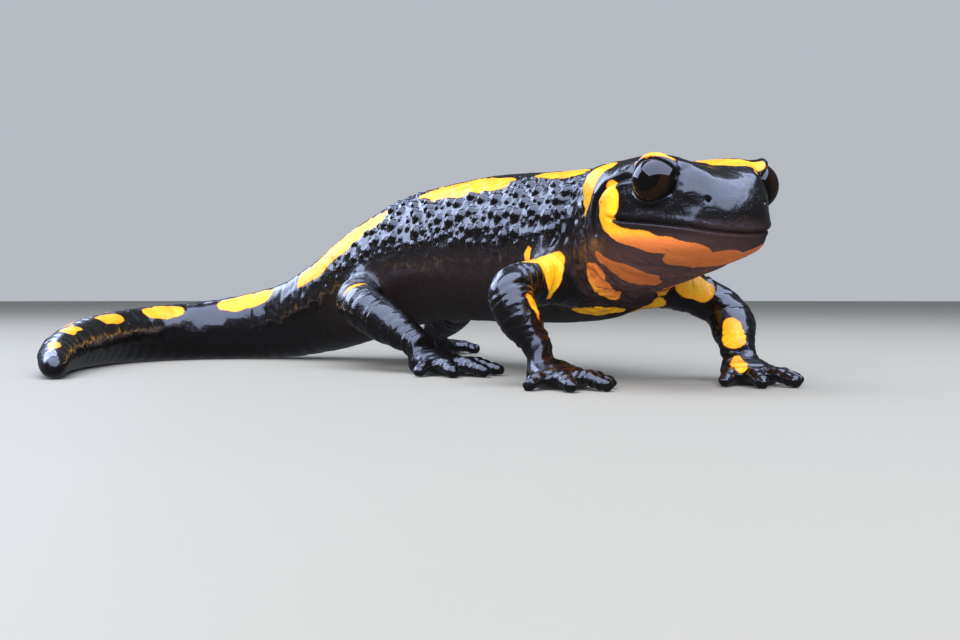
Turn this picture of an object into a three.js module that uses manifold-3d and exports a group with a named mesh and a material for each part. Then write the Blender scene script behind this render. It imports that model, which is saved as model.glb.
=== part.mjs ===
// A fire salamander, life size, standing on a level floor with its tail swept round beside it.
// Millimetres. +X is the way the trunk faces, +Y is the animal's left, +Z is up, and the floor is z = 0.
//
// The body is one loft along the spine, parted into lengths at rings. Each leg is a loft along its bones,
// cut back where it meets the body, and ends in a foot of palm and digits with flat soles on the floor.

import * as THREE from "three";
import { mergeVertices } from "three/addons/utils/BufferGeometryUtils.js";
import Module from "manifold-3d";

const wasm = await Module();
wasm.setup();

// ---------------------------------------------------------------- driving sizes

const PARTING = 0.3; // gap between neighbouring parts
const SINK = 0.25; // how far round undersides pass the floor before they are cut flat
const UP = new THREE.Vector3(0, 0, 1);
const DEG = Math.PI / 180;

const skinBlack = new THREE.MeshStandardMaterial({ color: 0x0d0c0f, roughness: 0.22, metalness: 0 });
const skinYellow = new THREE.MeshStandardMaterial({ color: 0xf2a310, roughness: 0.28, metalness: 0 });
const eyeDark = new THREE.MeshStandardMaterial({ color: 0x0a0706, roughness: 0.04, metalness: 0 });

const root = new THREE.Group();

// ---------------------------------------------------------------- solids

// Closed surface through rings of points, each ring counter-clockwise as seen from the first ring's side.
function surfaceOfRings(rings) {
  const sides = rings[0].length;
  const positions = rings.flat().flatMap((p) => [p.x, p.y, p.z]);
  const faces = [];
  const at = (ring, side) => ring * sides + (side % sides);
  for (let i = 0; i + 1 < rings.length; i++) {
    for (let j = 0; j < sides; j++) {
      faces.push(at(i, j), at(i + 1, j), at(i, j + 1));
      faces.push(at(i, j + 1), at(i + 1, j), at(i + 1, j + 1));
    }
  }
  const cap = (ring, outward) => {
    const middle = rings[ring].reduce((sum, p) => sum.add(p), new THREE.Vector3()).divideScalar(sides);
    const hub = positions.length / 3;
    positions.push(middle.x, middle.y, middle.z);
    for (let j = 0; j < sides; j++) {
      if (outward) faces.push(hub, at(ring, j + 1), at(ring, j));
      else faces.push(hub, at(ring, j), at(ring, j + 1));
    }
  };
  cap(0, false);
  cap(rings.length - 1, true);
  const geometry = new THREE.BufferGeometry();
  geometry.setAttribute("position", new THREE.Float32BufferAttribute(positions, 3));
  geometry.setIndex(faces);
  return geometry;
}

function solid(geometry) {
  const bare = geometry.clone();
  bare.deleteAttribute("normal");
  bare.deleteAttribute("uv");
  const merged = mergeVertices(bare, 1e-4);
  return new wasm.Manifold(
    new wasm.Mesh({
      numProp: 3,
      vertProperties: new Float32Array(merged.attributes.position.array),
      triVerts: new Uint32Array(merged.index.array),
    }),
  );
}

function geometryOf(made) {
  const mesh = made.getMesh();
  const geometry = new THREE.BufferGeometry();
  const positions = new Float32Array(mesh.numVert * 3);
  for (let i = 0; i < mesh.numVert; i++) {
    positions.set(mesh.vertProperties.subarray(i * mesh.numProp, i * mesh.numProp + 3), i * 3);
  }
  geometry.setAttribute("position", new THREE.BufferAttribute(positions, 3));
  geometry.setIndex(new THREE.BufferAttribute(mesh.triVerts, 1));
  geometry.computeVertexNormals();
  return geometry;
}

function box(low, high) {
  const size = new THREE.Vector3().subVectors(high, low);
  const geometry = new THREE.BoxGeometry(size.x, size.y, size.z);
  geometry.translate((low.x + high.x) / 2, (low.y + high.y) / 2, (low.z + high.z) / 2);
  return solid(geometry);
}

const aboveFloor = box(new THREE.Vector3(-200, -200, 0), new THREE.Vector3(200, 200, 100));

function addNode(name, made, material) {
  const mesh = new THREE.Mesh(geometryOf(made), material);
  mesh.name = name;
  root.add(mesh);
}

// ---------------------------------------------------------------- smooth sizes along a length

// Steps of a table joined by a cubic that never overshoots, so that girths stay fair.
function fair(rows, column) {
  const at = rows.map((row) => row.at);
  const value = rows.map((row) => row[column]);
  const slope = value.slice(1).map((v, i) => (v - value[i]) / (at[i + 1] - at[i]));
  const tangent = value.map((_, i) => {
    if (i === 0) return slope[0];
    if (i === value.length - 1) return slope[i - 1];
    if (slope[i - 1] * slope[i] <= 0) return 0;
    return (2 * slope[i - 1] * slope[i]) / (slope[i - 1] + slope[i]);
  });
  return (s) => {
    let i = 0;
    while (i < at.length - 2 && s > at[i + 1]) i++;
    const span = at[i + 1] - at[i];
    const t = THREE.MathUtils.clamp((s - at[i]) / span, 0, 1);
    const a = 2 * t ** 3 - 3 * t ** 2 + 1;
    const b = t ** 3 - 2 * t ** 2 + t;
    const c = -2 * t ** 3 + 3 * t ** 2;
    const d = t ** 3 - t ** 2;
    return a * value[i] + b * span * tangent[i] + c * value[i + 1] + d * span * tangent[i + 1];
  };
}

// Signed power, which turns a circle into a rounder or squarer oval.
const bend = (x, squareness) => Math.sign(x) * Math.abs(x) ** (2 / squareness);

const hump = (x, middle, spread) => Math.exp(-(((x - middle) / spread) ** 2));

// ---------------------------------------------------------------- the body

// Bends of the spine in plan, by distance back from the snout. A positive turn swings what lies behind it
// towards the animal's right.
const SNOUT = new THREE.Vector3(58.1, 1.3, 0);
const HEAD_YAW = -10;
const BENDS = [
  { name: "trunk", from: 26, to: 88, turn: 26 },
  { name: "hips", from: 82, to: 112, turn: 34 },
  { name: "tail's root", from: 98, to: 144, turn: 93 },
  { name: "tail's end", from: 138, to: 174, turn: 21 },
];
const LENGTH = 174;
const STEP = 0.25;

// Places along the spine in plan, worked out by walking back from the snout.
const walk = [SNOUT];
const headingAt = (s) =>
  BENDS.reduce((sum, b) => sum + b.turn * DEG * THREE.MathUtils.smoothstep(s, b.from, b.to), HEAD_YAW * DEG);
for (let s = 0; s < LENGTH; s += STEP) {
  const heading = headingAt(s + STEP / 2);
  const back = new THREE.Vector3(-Math.cos(heading), -Math.sin(heading), 0);
  walk.push(walk.at(-1).clone().addScaledVector(back, STEP));
}
function placeOnSpine(s) {
  const steps = THREE.MathUtils.clamp(s, 0, LENGTH) / STEP;
  const i = Math.min(Math.floor(steps), walk.length - 2);
  return walk[i].clone().lerp(walk[i + 1], steps - i).setZ(axisHeight(s));
}

// Girth along the spine: distance from the snout, half width, height above and depth below the spine's line,
// and that line's height over the floor. The line runs along the mouth in the head.
const GIRTH = [
  { name: "snout", at: 0.0, wide: 4.6, above: 4.6, below: 1.6, height: 17.0 },
  { name: "nostrils", at: 2.2, wide: 5.3, above: 5.6, below: 2.1, height: 17.3 },
  { name: "before the eyes", at: 4.5, wide: 6.5, above: 6.6, below: 3.1, height: 17.7 },
  { name: "eyes", at: 7.0, wide: 7.8, above: 7.2, below: 4.2, height: 18.2 },
  { name: "cheek", at: 10.0, wide: 8.8, above: 7.2, below: 5.4, height: 18.8 },
  { name: "mouth's corner", at: 13.0, wide: 9.4, above: 7.2, below: 6.6, height: 19.2 },
  { name: "head's back", at: 17.0, wide: 9.0, above: 7.6, below: 7.2, height: 19.0 },
  { name: "gular fold", at: 22.0, wide: 8.0, above: 8.3, below: 8.4, height: 18.4 },
  { name: "shoulders", at: 29.0, wide: 9.3, above: 9.2, below: 10.0, height: 17.6 },
  { name: "chest", at: 39.0, wide: 10.6, above: 10.0, below: 10.3, height: 17.2 },
  { name: "belly", at: 54.0, wide: 11.6, above: 10.8, below: 10.2, height: 17.0 },
  { name: "loin", at: 69.0, wide: 10.6, above: 10.7, below: 9.2, height: 15.9 },
  { name: "hips", at: 80.0, wide: 9.0, above: 9.2, below: 8.9, height: 13.8 },
  { name: "vent", at: 91.0, wide: 7.5, above: 7.7, below: 7.6, height: 9.4 },
  { name: "tail's root", at: 101.0, wide: 6.1, above: 6.4, below: 6.1, height: 6.4 - SINK },
  { name: "tail", at: 114.0, wide: 4.9, above: 5.2, below: 4.9, height: 4.9 - SINK },
  { name: "middle tail", at: 132.0, wide: 4.1, above: 4.4, below: 4.2, height: 4.2 - SINK },
  { name: "end tail", at: 150.0, wide: 3.2, above: 3.4, below: 3.3, height: 3.3 - SINK },
  { name: "fine tail", at: 166.0, wide: 2.3, above: 2.4, below: 2.3, height: 2.3 - SINK },
  { name: "tail's tip", at: LENGTH, wide: 1.6, above: 1.6, below: 1.6, height: 1.6 - SINK },
];
const halfWidth = fair(GIRTH, "wide");
const above = fair(GIRTH, "above");
const below = fair(GIRTH, "below");
const axisHeight = fair(GIRTH, "height");

const SNOUT_ROUND = 4.0; // length over which the snout rounds off
const TAIL_ROUND = 2.4;

// How far the ends of the body have closed in, from 0 at the tip to 1.
function closing(s) {
  const front = THREE.MathUtils.clamp(s / SNOUT_ROUND, 0, 1);
  const rear = THREE.MathUtils.clamp((LENGTH - s) / TAIL_ROUND, 0, 1);
  const round = (t, power) => (1 - (1 - t) ** power) ** (1 / power);
  return Math.max(round(front, 2.3) * round(rear, 2), 0.02);
}

// A place on the spine with the animal's own directions there.
function stationAt(s) {
  const forward = placeOnSpine(s - 0.5).sub(placeOnSpine(s + 0.5)).normalize();
  const left = new THREE.Vector3().crossVectors(UP, forward).normalize();
  const up = new THREE.Vector3().crossVectors(forward, left);
  return { centre: placeOnSpine(s), forward, left, up };
}

// Swellings of the head over the plain oval, by distance from the snout and angle up from the side.
const BROW = { at: 8.2, angle: 54 * DEG, long: 3.6, round: 20 * DEG, high: 1.5 };
const PAROTOID = { at: 17.0, angle: 34 * DEG, long: 5.0, round: 24 * DEG, high: 1.1 };
const CHEEK = { at: 12.5, angle: -6 * DEG, long: 3.4, round: 26 * DEG, high: 0.3 };
const FOREHEAD = { at: 6.5, angle: 90 * DEG, long: 5.5, round: 26 * DEG, high: -0.5 };
const THROAT_FOLD = { at: 22.0, angle: -90 * DEG, long: 1.4, round: 80 * DEG, high: -0.5 };

function swelling(s, angle) {
  const side = Math.abs(angle) > Math.PI / 2 ? Math.sign(angle) * Math.PI - angle : angle;
  return [BROW, PAROTOID, CHEEK, FOREHEAD, THROAT_FOLD].reduce(
    (sum, b) => sum + b.high * hump(s, b.at, b.long) * hump(side, b.angle, b.round),
    0,
  );
}

// Sides of the head are upright and its crown flat; the trunk is nearly oval.
const squareness = (s) => 2.12 + 0.55 * hump(s, 6, 11);

function bodyRing(s, sides, grow = 0) {
  const { centre, left, up } = stationAt(s);
  const shrink = closing(s);
  return Array.from({ length: sides }, (_, j) => {
    const angle = (2 * Math.PI * j) / sides;
    const signed = angle > Math.PI ? angle - 2 * Math.PI : angle;
    const across = bend(Math.cos(angle), squareness(s)) * halfWidth(s);
    const tall = bend(Math.sin(angle), squareness(s)) * (Math.sin(angle) > 0 ? above(s) : below(s));
    const out = new THREE.Vector2(across, tall);
    out.multiplyScalar(shrink).addScaledVector(out.clone().normalize(), swelling(s, signed) * shrink + grow);
    return centre.clone().addScaledVector(left, out.x).addScaledVector(up, out.y);
  });
}

// A length of the body between two distances from the snout.
function bodyLength(from, to, rings, sides, grow = 0) {
  return solid(surfaceOfRings(spread(from, to, rings).map((s) => bodyRing(s, sides, grow))));
}

// Even steps, drawn closer together at an end that rounds off.
function spread(from, to, count) {
  return Array.from({ length: count }, (_, i) => {
    const t = i / (count - 1);
    if (from === 0) return from + (to - from) * (0.45 * t + 0.55 * t ** 2.2);
    if (to === LENGTH) return to - (to - from) * (0.25 * (1 - t) + 0.75 * (1 - t) ** 2.2);
    return from + (to - from) * t;
  });
}

const PARTINGS = { neck: 19.5, shoulders: 25.0, trunk: 36.0, loin: 58.0, hips: 72.0, tail: 97.0 };
const TAIL_LENGTHS = 4;
const HEAD_SIDES = 28;
const TRUNK_SIDES = 24;
const TAIL_SIDES = 14;
const half = PARTING / 2;

// ---------------------------------------------------------------- eyes

const EYE_RADIUS = 2.8;
const EYE = { at: 8.0, out: 6.4, up: 4.6 };

function eyeCentre(side) {
  const { centre, left, up } = stationAt(EYE.at);
  return centre.addScaledVector(left, side * EYE.out).addScaledVector(up, EYE.up);
}

function ball(centre, radius) {
  const geometry = new THREE.SphereGeometry(radius, 14, 9);
  geometry.translate(centre.x, centre.y, centre.z);
  return solid(geometry);
}

// ---------------------------------------------------------------- head and jaw

const MOUTH = { corner: 12.8, rise: 0.35 };
const BEYOND = 12; // how far a cutting block passes what it cuts
let head = bodyLength(0, PARTINGS.neck - half, 20, HEAD_SIDES);
for (const side of [1, -1]) {
  head = head.subtract(ball(eyeCentre(side), EYE_RADIUS + PARTING));
}

// The lower jaw lies under the line of the mouth and ahead of its corners.
function jawBlock(grow) {
  const middle = stationAt(MOUTH.corner / 2);
  const geometry = new THREE.BoxGeometry(MOUTH.corner + BEYOND, 4 * BEYOND, 2 * BEYOND);
  geometry.translate(BEYOND / 2 - grow, 0, MOUTH.rise - BEYOND + grow);
  const turn = new THREE.Matrix4().makeBasis(middle.forward, middle.left, middle.up);
  turn.setPosition(middle.centre);
  geometry.applyMatrix4(turn);
  return solid(geometry);
}
addNode("head", head.subtract(jawBlock(half)), skinBlack);
addNode("lower_jaw", head.intersect(jawBlock(-half)), skinYellow);
for (const [name, side] of [["eye_left", 1], ["eye_right", -1]]) {
  addNode(name, ball(eyeCentre(side), EYE_RADIUS), eyeDark);
}

// ---------------------------------------------------------------- neck, trunk and tail

const trunkParts = [
  ["neck", PARTINGS.neck, PARTINGS.shoulders, 5],
  ["shoulders", PARTINGS.shoulders, PARTINGS.trunk, 6],
  ["trunk", PARTINGS.trunk, PARTINGS.loin, 10],
  ["loin", PARTINGS.loin, PARTINGS.hips, 7],
  ["hips", PARTINGS.hips, PARTINGS.tail, 10],
];
for (const [name, from, to, rings] of trunkParts) {
  addNode(name, bodyLength(from + half, to - half, rings, TRUNK_SIDES).intersect(aboveFloor), skinBlack);
}
const tailStep = (LENGTH - PARTINGS.tail) / TAIL_LENGTHS;
for (let i = 0; i < TAIL_LENGTHS; i++) {
  const from = PARTINGS.tail + i * tailStep + half;
  const to = i === TAIL_LENGTHS - 1 ? LENGTH : PARTINGS.tail + (i + 1) * tailStep - half;
  addNode(`tail_${i + 1}`, bodyLength(from, to, 10, TAIL_SIDES).intersect(aboveFloor), skinBlack);
}
const bodyBlank = bodyLength(PARTINGS.neck - 4, PARTINGS.tail + 8, 50, TRUNK_SIDES, PARTING);

// ---------------------------------------------------------------- legs

// A tube of given half thicknesses through the points of a limb.
function limbLength(limb, from, to, rings, sides = 10) {
  const curve = new THREE.CatmullRomCurve3(limb.points, false, "centripetal");
  const radius = fair(limb.girth, "radius");
  const flat = fair(limb.girth, "flat");
  const made = spread(from, to, rings).map((t) => {
    const centre = curve.getPointAt(t);
    const along = curve.getTangentAt(t).negate();
    const across = new THREE.Vector3().crossVectors(UP, along).normalize();
    const up = new THREE.Vector3().crossVectors(along, across);
    return Array.from({ length: sides }, (_, j) => {
      const angle = (2 * Math.PI * j) / sides;
      return centre
        .clone()
        .addScaledVector(across, Math.cos(angle) * radius(t) * flat(t))
        .addScaledVector(up, (Math.sin(angle) * radius(t)) / flat(t));
    });
  });
  return solid(surfaceOfRings(made));
}

// Everything on one side of a plane through a limb, for trimming the inside of a sharp bend.
function sideOfPlane(place, direction) {
  const turn = new THREE.Quaternion().setFromUnitVectors(UP, direction);
  const geometry = new THREE.BoxGeometry(4 * BEYOND, 4 * BEYOND, 2 * BEYOND);
  geometry.translate(0, 0, BEYOND);
  geometry.applyQuaternion(turn);
  geometry.translate(place.x, place.y, place.z);
  return solid(geometry);
}

// One digit: a tapered tube that leaves the palm, arches over its knuckle and lies on the floor.
function digit(start, heading, length, radius) {
  const stations = [0, 0.25, 0.5, 0.75, 0.92, 1];
  const sides = 6;
  const along = new THREE.Vector3(Math.cos(heading), Math.sin(heading), 0);
  const across = new THREE.Vector3(-along.y, along.x, 0);
  const made = stations.map((t) => {
    const round = t < 0.9 ? 1 : Math.sqrt(1 - ((t - 0.9) / 0.11) ** 2);
    const thick = radius * (1.08 - 0.16 * t + 0.1 * hump(t, 0.5, 0.16)) * round;
    const arch = 0.55 * radius * Math.sin(Math.PI * Math.min(t * 1.25, 1)) + 0.35 * radius * (1 - t);
    const lift = radius * 0.86 - SINK * 0.6 + arch;
    const centre = start.clone().setZ(0).addScaledVector(along, length * t).setZ(lift);
    return Array.from({ length: sides }, (_, j) => {
      const angle = (2 * Math.PI * j) / sides;
      return centre
        .clone()
        .addScaledVector(across, -Math.cos(angle) * thick)
        .addScaledVector(UP, Math.sin(angle) * thick * 0.9);
    });
  });
  return solid(surfaceOfRings(made));
}

// The palm: a low pad under the wrist that widens towards the digits, flat beneath.
function palm(wrist, heading, size) {
  const along = new THREE.Vector3(Math.cos(heading), Math.sin(heading), 0);
  const across = new THREE.Vector3(-along.y, along.x, 0);
  const rows = [
    { at: 0.0, wide: 0.42, high: 0.5 },
    { at: 0.12, wide: 0.66, high: 0.86 },
    { at: 0.4, wide: 0.86, high: 1.0 },
    { at: 0.75, wide: 1.0, high: 0.78 },
    { at: 0.93, wide: 0.92, high: 0.62 },
    { at: 1.0, wide: 0.72, high: 0.46 },
  ];
  const sides = 10;
  const made = rows.map((row) => {
    const centre = wrist.clone().setZ(0).addScaledVector(along, size.long * (row.at - 0.22));
    const high = size.high * row.high;
    centre.setZ(high / 2 - SINK * 0.5);
    return Array.from({ length: sides }, (_, j) => {
      const angle = (2 * Math.PI * j) / sides;
      return centre
        .clone()
        .addScaledVector(across, -bend(Math.cos(angle), 2.4) * size.wide * row.wide)
        .addScaledVector(UP, (bend(Math.sin(angle), 2.4) * high) / 2);
    });
  });
  return solid(surfaceOfRings(made));
}

const FORE_DIGITS = [
  { turn: -64, from: -0.8, long: 4.2, thick: 0.92 },
  { turn: -18, from: -0.38, long: 6.6, thick: 1.0 },
  { turn: 8, from: 0.22, long: 6.8, thick: 1.0 },
  { turn: 38, from: 0.76, long: 4.8, thick: 0.94 },
];
const HIND_DIGITS = [
  { turn: -66, from: -0.84, long: 4.4, thick: 0.98 },
  { turn: -26, from: -0.48, long: 7.0, thick: 1.08 },
  { turn: -4, from: -0.04, long: 8.0, thick: 1.12 },
  { turn: 18, from: 0.4, long: 7.4, thick: 1.08 },
  { turn: 46, from: 0.82, long: 4.8, thick: 1.0 },
];
const FORE_PALM = { long: 7.2, wide: 3.4, high: 3.6 };
const HIND_PALM = { long: 8.0, wide: 3.8, high: 3.8 };

const FORE_GIRTH = [
  { at: 0.0, radius: 3.5, flat: 0.95 },
  { at: 0.25, radius: 3.15, flat: 0.98 },
  { at: 0.5, radius: 2.9, flat: 1.0 },
  { at: 0.72, radius: 3.0, flat: 1.06 },
  { at: 0.9, radius: 2.35, flat: 1.1 },
  { at: 1.0, radius: 2.0, flat: 1.15 },
];
const HIND_GIRTH = [
  { at: 0.0, radius: 4.1, flat: 0.95 },
  { at: 0.25, radius: 3.8, flat: 0.98 },
  { at: 0.5, radius: 3.4, flat: 1.0 },
  { at: 0.72, radius: 3.3, flat: 1.05 },
  { at: 0.9, radius: 2.6, flat: 1.1 },
  { at: 1.0, radius: 2.2, flat: 1.15 },
];

// Each leg by its joints, with the foot's heading in degrees from straight ahead. thumb sets its first digit's side.
const LEGS = [
  {
    names: ["upper_arm_right", "forearm_right", "hand_right"],
    joints: [[30.0, 1.0, 12.6], [29.4, -4.6, 12.2], [31.6, -10.4, 11.0], [33.8, -9.8, 7.2], [36.2, -8.6, 3.6]],
    girth: FORE_GIRTH, digits: FORE_DIGITS, palm: FORE_PALM, heading: -4, thumb: 1,
  },
  {
    names: ["upper_arm_left", "forearm_left", "hand_left"],
    joints: [[31.5, 9.0, 12.4], [34.4, 14.4, 11.6], [38.0, 19.0, 9.0], [41.6, 17.2, 6.0], [44.6, 14.8, 3.4]],
    girth: FORE_GIRTH, digits: FORE_DIGITS, palm: FORE_PALM, heading: -24, thumb: -1,
  },
  {
    names: ["thigh_right", "shin_right", "foot_right"],
    joints: [[-19.0, 1.0, 10.4], [-13.6, -4.8, 9.8], [-5.8, -8.6, 8.8], [1.2, -7.8, 6.2], [7.4, -6.6, 3.4]],
    girth: HIND_GIRTH, digits: HIND_DIGITS, palm: HIND_PALM, heading: 10, thumb: 1,
  },
  {
    names: ["thigh_left", "shin_left", "foot_left"],
    joints: [[-20.0, 8.0, 10.2], [-21.0, 13.4, 10.4], [-25.0, 20.6, 9.0], [-31.6, 22.4, 6.2], [-37.4, 22.6, 3.3]],
    girth: HIND_GIRTH, digits: HIND_DIGITS, palm: HIND_PALM, heading: 112, thumb: -1,
  },
];
const ELBOW = 0.53;
const WRIST = 0.93;

for (const leg of LEGS) {
  const limb = { points: leg.joints.map((p) => new THREE.Vector3(...p)), girth: leg.girth };
  const bone = new THREE.CatmullRomCurve3(limb.points, false, "centripetal");
  const gap = half / bone.getLength();
  const elbow = bone.getPointAt(ELBOW);
  const onward = bone.getTangentAt(ELBOW);
  const beforeElbow = sideOfPlane(elbow.clone().addScaledVector(onward, -half), onward.clone().negate());
  const afterElbow = sideOfPlane(elbow.clone().addScaledVector(onward, half), onward);
  const upper = limbLength(limb, 0, ELBOW, 7).intersect(beforeElbow).subtract(bodyBlank);
  const lower = limbLength(limb, ELBOW, WRIST - gap, 7).intersect(afterElbow);
  const wrist = limb.points.at(-1);
  const heading = leg.heading * DEG;
  const along = new THREE.Vector3(Math.cos(heading), Math.sin(heading), 0);
  const across = new THREE.Vector3(-along.y, along.x, 0);
  let foot = palm(wrist, heading, leg.palm).add(limbLength(limb, WRIST + gap, 1, 3));
  for (const d of leg.digits) {
    const start = wrist
      .clone()
      .addScaledVector(along, leg.palm.long * (0.62 - 0.16 * Math.abs(d.from)))
      .addScaledVector(across, -leg.thumb * d.from * leg.palm.wide * -0.8);
    foot = foot.add(digit(start, heading + leg.thumb * d.turn * DEG, d.long, d.thick));
  }
  foot = foot.intersect(aboveFloor);
  const [upperName, lowerName, footName] = leg.names;
  addNode(upperName, upper, skinBlack);
  addNode(lowerName, lower.subtract(bodyBlank).subtract(foot), skinBlack);
  addNode(footName, foot, skinBlack);
}

// The origin is on the floor under the middle of the whole animal.
const bounds = new THREE.Box3().setFromObject(root);
root.position.set(-(bounds.min.x + bounds.max.x) / 2, -(bounds.min.y + bounds.max.y) / 2, 0);

export default root;
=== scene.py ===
import math

import bmesh
import bpy
import numpy as np
from mathutils import Matrix, Vector
from mathutils.bvhtree import BVHTree
from mathutils.kdtree import KDTree


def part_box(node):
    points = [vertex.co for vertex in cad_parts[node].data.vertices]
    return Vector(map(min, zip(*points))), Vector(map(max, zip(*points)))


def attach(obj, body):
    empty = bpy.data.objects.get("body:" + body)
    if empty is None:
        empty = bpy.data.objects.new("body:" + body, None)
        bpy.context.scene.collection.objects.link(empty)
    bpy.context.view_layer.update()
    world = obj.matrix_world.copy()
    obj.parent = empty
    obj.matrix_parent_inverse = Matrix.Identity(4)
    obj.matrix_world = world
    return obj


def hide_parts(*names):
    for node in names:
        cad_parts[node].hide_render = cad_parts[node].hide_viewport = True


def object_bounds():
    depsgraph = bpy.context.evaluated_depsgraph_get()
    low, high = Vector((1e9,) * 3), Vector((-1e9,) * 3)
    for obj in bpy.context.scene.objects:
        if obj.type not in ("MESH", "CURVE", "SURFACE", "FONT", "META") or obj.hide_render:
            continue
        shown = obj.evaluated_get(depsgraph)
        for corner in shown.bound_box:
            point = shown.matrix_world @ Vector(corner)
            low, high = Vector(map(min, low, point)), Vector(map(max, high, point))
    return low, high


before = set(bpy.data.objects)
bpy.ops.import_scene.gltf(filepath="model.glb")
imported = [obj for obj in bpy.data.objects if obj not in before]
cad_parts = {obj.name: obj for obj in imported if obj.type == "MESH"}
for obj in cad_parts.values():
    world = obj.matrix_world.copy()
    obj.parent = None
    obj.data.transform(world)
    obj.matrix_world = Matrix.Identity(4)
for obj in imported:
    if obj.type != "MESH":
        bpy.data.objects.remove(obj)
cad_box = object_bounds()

# ------------------------------------------------------------------ the stage
# A plain pale table top under wide soft lights, because wet black skin shows its shape only in what it
# mirrors. The camera is low, level with the throat, and looks along the animal from ahead and to its right.

MM = 0.001
eye_boxes = {side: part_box(f"eye_{side}") for side in ("left", "right")}
eye_centres = {side: (Vector(low) + Vector(high)) / 2 for side, (low, high) in eye_boxes.items()}
between_eyes = (eye_centres["left"] + eye_centres["right"]) / 2

CAMERA_FROM_EYES = Vector((99.5, -100.3, -12.4)) * MM
CAMERA_AZIMUTH = 55.0
CAMERA_DIP = 1.1
LENS = 46.9
NEAREST_SEEN = 0.005
FLOOR_RADIUS = 2.5
FLOOR_GREY = (0.37, 0.37, 0.36, 1.0)
FLOOR_ROUGHNESS, FLOOR_SHINE = 0.6, 0.1

camera_data = bpy.data.cameras.new("camera")
camera_data.lens = LENS
camera_data.clip_start = NEAREST_SEEN
camera = bpy.data.objects.new("camera", camera_data)
camera.location = between_eyes + CAMERA_FROM_EYES
camera.rotation_euler = (math.radians(90 - CAMERA_DIP), 0, math.radians(CAMERA_AZIMUTH))
bpy.context.collection.objects.link(camera)
bpy.context.scene.camera = camera
bpy.context.scene.view_settings.view_transform = "Standard"

floor_mesh = bpy.data.meshes.new("floor")
floor_form = bmesh.new()
bmesh.ops.create_circle(floor_form, cap_ends=True, segments=96, radius=FLOOR_RADIUS)
floor_form.to_mesh(floor_mesh)
floor_form.free()
floor = bpy.data.objects.new("floor", floor_mesh)
bpy.context.collection.objects.link(floor)
floor_paint = bpy.data.materials.new("table_top")
floor_paint.use_nodes = True
floor_surface = floor_paint.node_tree.nodes["Principled BSDF"]
floor_surface.inputs["Base Color"].default_value = FLOOR_GREY
floor_surface.inputs["Roughness"].default_value = FLOOR_ROUGHNESS
floor_surface.inputs["Specular IOR Level"].default_value = FLOOR_SHINE
floor_mesh.materials.append(floor_paint)
floor.visible_glossy = False  # wet skin mirrors dark ground, as it would outdoors

# Soft boxes: where each hangs from the middle of the animal, its width and depth, its watts and colour, and
# whether it lights the skin or is only mirrored in it, as an open sky is.
SKY_BLUE, WHITE = (0.58, 0.68, 1.0), (1.0, 0.99, 0.96)
SOFT_BOXES = [
    {"name": "sky", "at": (0.10, -0.06, 0.36), "size": (0.90, 0.72),
     "watts": 8.5, "colour": SKY_BLUE, "mirrored": True},
    {"name": "far side", "at": (-0.50, -0.13, 0.29), "size": (0.58, 0.30),
     "watts": 2.4, "colour": SKY_BLUE, "mirrored": True},
    {"name": "over", "at": (0.06, -0.08, 0.40), "size": (0.60, 0.50),
     "watts": 2.8, "colour": WHITE, "mirrored": False},
    {"name": "fill", "at": (0.85, -1.05, 0.50), "size": (1.10, 0.90),
     "watts": 24.0, "colour": WHITE, "mirrored": False},
]
middle = (Vector(cad_box[0]) + Vector(cad_box[1])) / 2
for box in SOFT_BOXES:
    light_data = bpy.data.lights.new(box["name"], "AREA")
    light_data.shape = "RECTANGLE"
    light_data.size, light_data.size_y = box["size"]
    light_data.energy = box["watts"]
    light_data.color = box["colour"]
    light = bpy.data.objects.new(box["name"], light_data)
    light.location = middle + Vector(box["at"])
    light.rotation_euler = (middle - light.location).to_track_quat("-Z", "Y").to_euler()
    light.visible_glossy = box["mirrored"]
    light.visible_diffuse = not box["mirrored"]
    light.visible_camera = False
    bpy.context.collection.objects.link(light)

ROOM_GREY = (0.52, 0.55, 0.60, 1.0)
ROOM_LIGHT, ROOM_MIRRORED = 0.9, 0.13  # how bright the room is as light, and as what wet skin mirrors
world = bpy.data.worlds.new("room")
world.use_nodes = True
world_nodes, world_links = world.node_tree.nodes, world.node_tree.links
ray = world_nodes.new("ShaderNodeLightPath")
brightness = world_nodes.new("ShaderNodeMix")
brightness.inputs[2].default_value = ROOM_LIGHT
brightness.inputs[3].default_value = ROOM_MIRRORED
world_links.new(ray.outputs["Is Glossy Ray"], brightness.inputs[0])
world_links.new(brightness.outputs[0], world_nodes["Background"].inputs["Strength"])
world_nodes["Background"].inputs["Color"].default_value = ROOM_GREY
bpy.context.scene.world = world

# ------------------------------------------------------------------ the skin, cast over the flesh
# One naked wet skin covers everything but the eyes. It is cast as a single close shell over the parted
# flesh and faired, and the sections after this one work each region's folds, glands and colours into it.

FLESH = [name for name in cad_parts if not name.startswith("eye_")]
SAME_POINT = 1e-6
SWELL = 0.3  # closes the partings before the cast
SETTLE = 0.21  # taken off again after it, less what the fairing drew in
VOXEL = 0.2
FAIRING = 90


def merged(name):
    """A node's points in millimetres and its faces, with its loose triangles joined."""
    form = bmesh.new()
    form.from_mesh(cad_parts[name].data)
    bmesh.ops.remove_doubles(form, verts=form.verts, dist=SAME_POINT)
    form.normal_update()
    form.verts.index_update()
    points = np.array([v.co[:] for v in form.verts]) / MM
    normals = np.array([v.normal[:] for v in form.verts])
    faces = [[v.index for v in face.verts] for face in form.faces]
    form.free()
    return points, normals, faces


nodes = {name: merged(name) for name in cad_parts}


def shells(grow):
    """Every node's closed shell, grown outwards, in one list, and which node each face belongs to."""
    points, faces, whose = [], [], []
    for index, (own, normals, own_faces) in enumerate(nodes.values()):
        first = len(points)
        points += (own + normals * grow).tolist()
        faces += [[first + corner for corner in face] for face in own_faces]
        whose += [index] * len(own_faces)
    return points, faces, whose


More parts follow.
